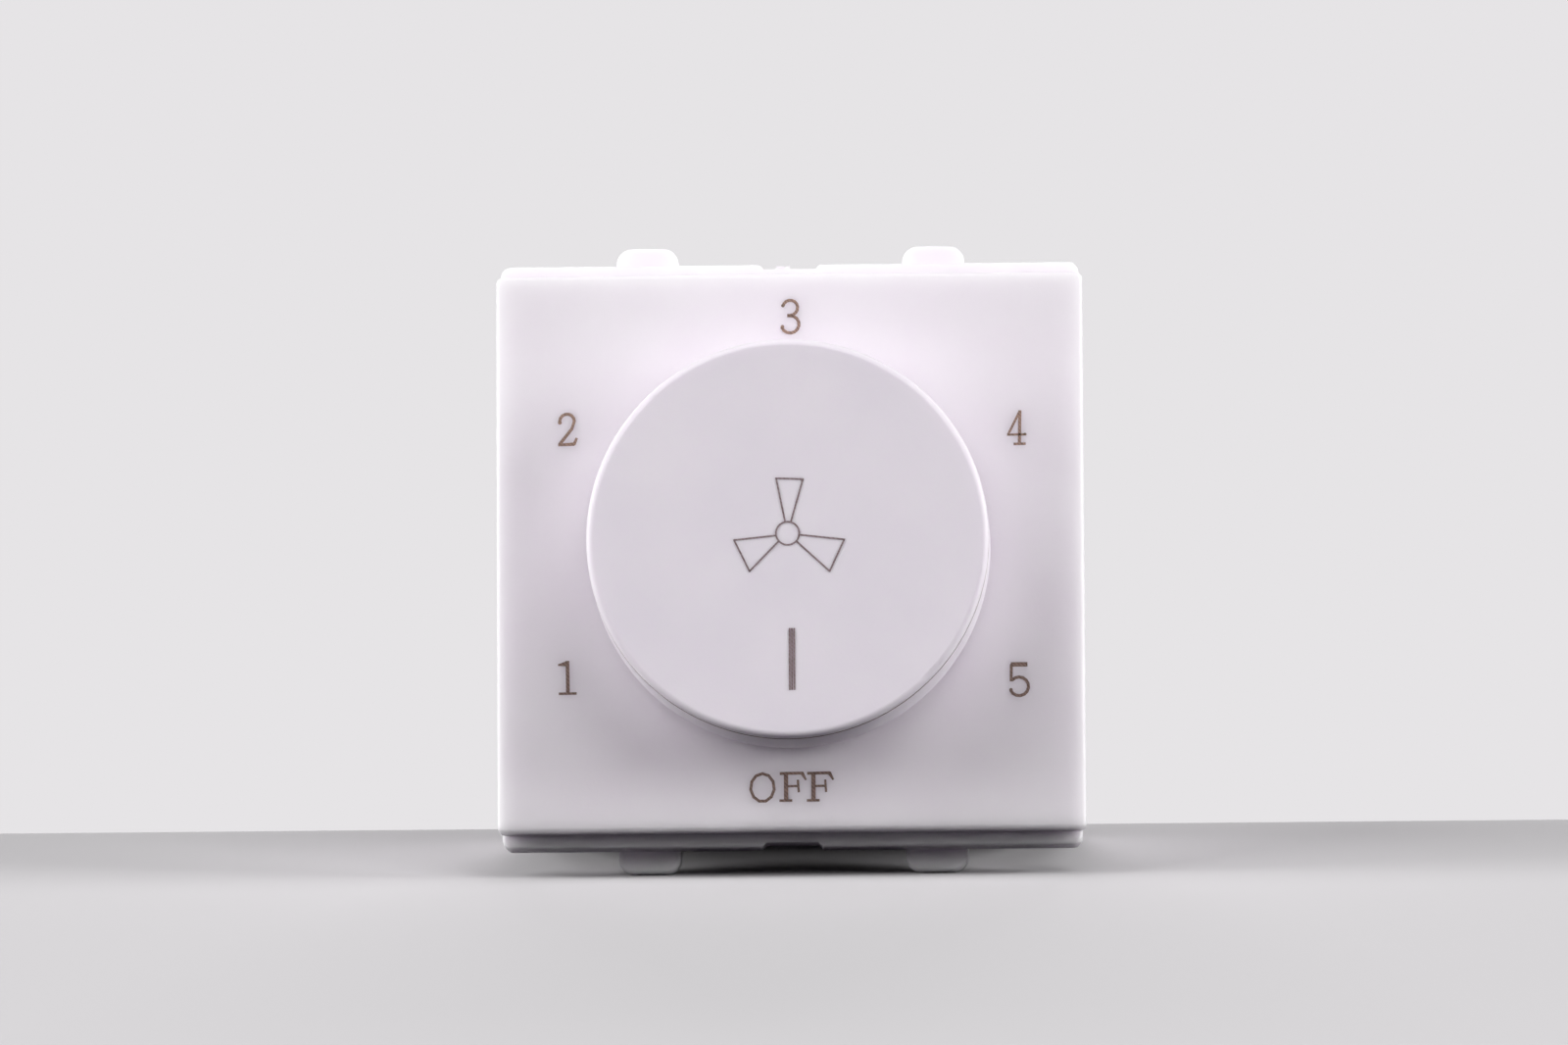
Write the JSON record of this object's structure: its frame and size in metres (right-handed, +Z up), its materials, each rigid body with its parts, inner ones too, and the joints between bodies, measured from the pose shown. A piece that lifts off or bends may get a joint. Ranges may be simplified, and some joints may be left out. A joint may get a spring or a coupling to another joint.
{
  "type": "fan speed control switch",
  "caption": "Modular wall regulator for a ceiling fan: square white plate with a round step knob, flange with snap lugs, and a closed housing with wire terminals behind.",
  "frame": {"origin": "on the knob axis, in the plane of the flange's rear face that seats on the wall grid", "axes": "+X to the right seen from the front, +Y into the wall along the knob axis, +Z up"},
  "size_m": [0.045, 0.0397, 0.0486],
  "materials": {
    "white_polycarbonate": "satin",
    "black_phenolic": "matte",
    "natural_nylon": "satin",
    "zinc_plated_steel": "satin",
    "spring_steel": "satin",
    "phosphor_bronze": "satin",
    "silver_plated_brass": "satin",
    "brass": "satin",
    "paper_phenolic_board": "matte",
    "capacitor_case": "satin",
    "resistor_lacquer": "gloss"
  },
  "bodies": {
    "base": {"front_plate": "white_polycarbonate", "housing": "white_polycarbonate", "rear_cover": "white_polycarbonate", "bush_nut": "zinc_plated_steel", "lock_washer": "spring_steel", "switch_cover": "black_phenolic", "switch_case": "black_phenolic", "detent_spring": "spring_steel", "fixed_contacts": "silver_plated_brass", "common_contact": "silver_plated_brass", "switch_screws": "zinc_plated_steel", "board": "paper_phenolic_board", "capacitor_large": "capacitor_case", "capacitor_medium": "capacitor_case", "capacitor_small": "capacitor_case", "discharge_resistors": "resistor_lacquer", "series_resistors": "resistor_lacquer", "board_screws": "zinc_plated_steel", "line_terminal": "brass", "load_terminal": "brass"},
    "dial": {"knob": "white_polycarbonate", "knob_clip": "spring_steel", "rotor_shaft": "natural_nylon", "wiper_contact": "phosphor_bronze"},
    "line_clamp": {"line_screw": "zinc_plated_steel"},
    "load_clamp": {"load_screw": "zinc_plated_steel"}
  },
  "joints": [
    {"name": "knob_turn", "type": "hinge", "parent": "base", "child": "dial", "pos_m": [0, 0, 0], "axis": [0, 1, 0], "range_deg": [0, 300], "deforming": ["detent_spring"]},
    {"name": "line_screw_travel", "type": "slide", "parent": "base", "child": "line_clamp", "axis": [0, -1, 0], "range_m": [0, 0.0016]},
    {"name": "load_screw_travel", "type": "slide", "parent": "base", "child": "load_clamp", "axis": [0, -1, 0], "range_m": [0, 0.0016]}
  ]
}
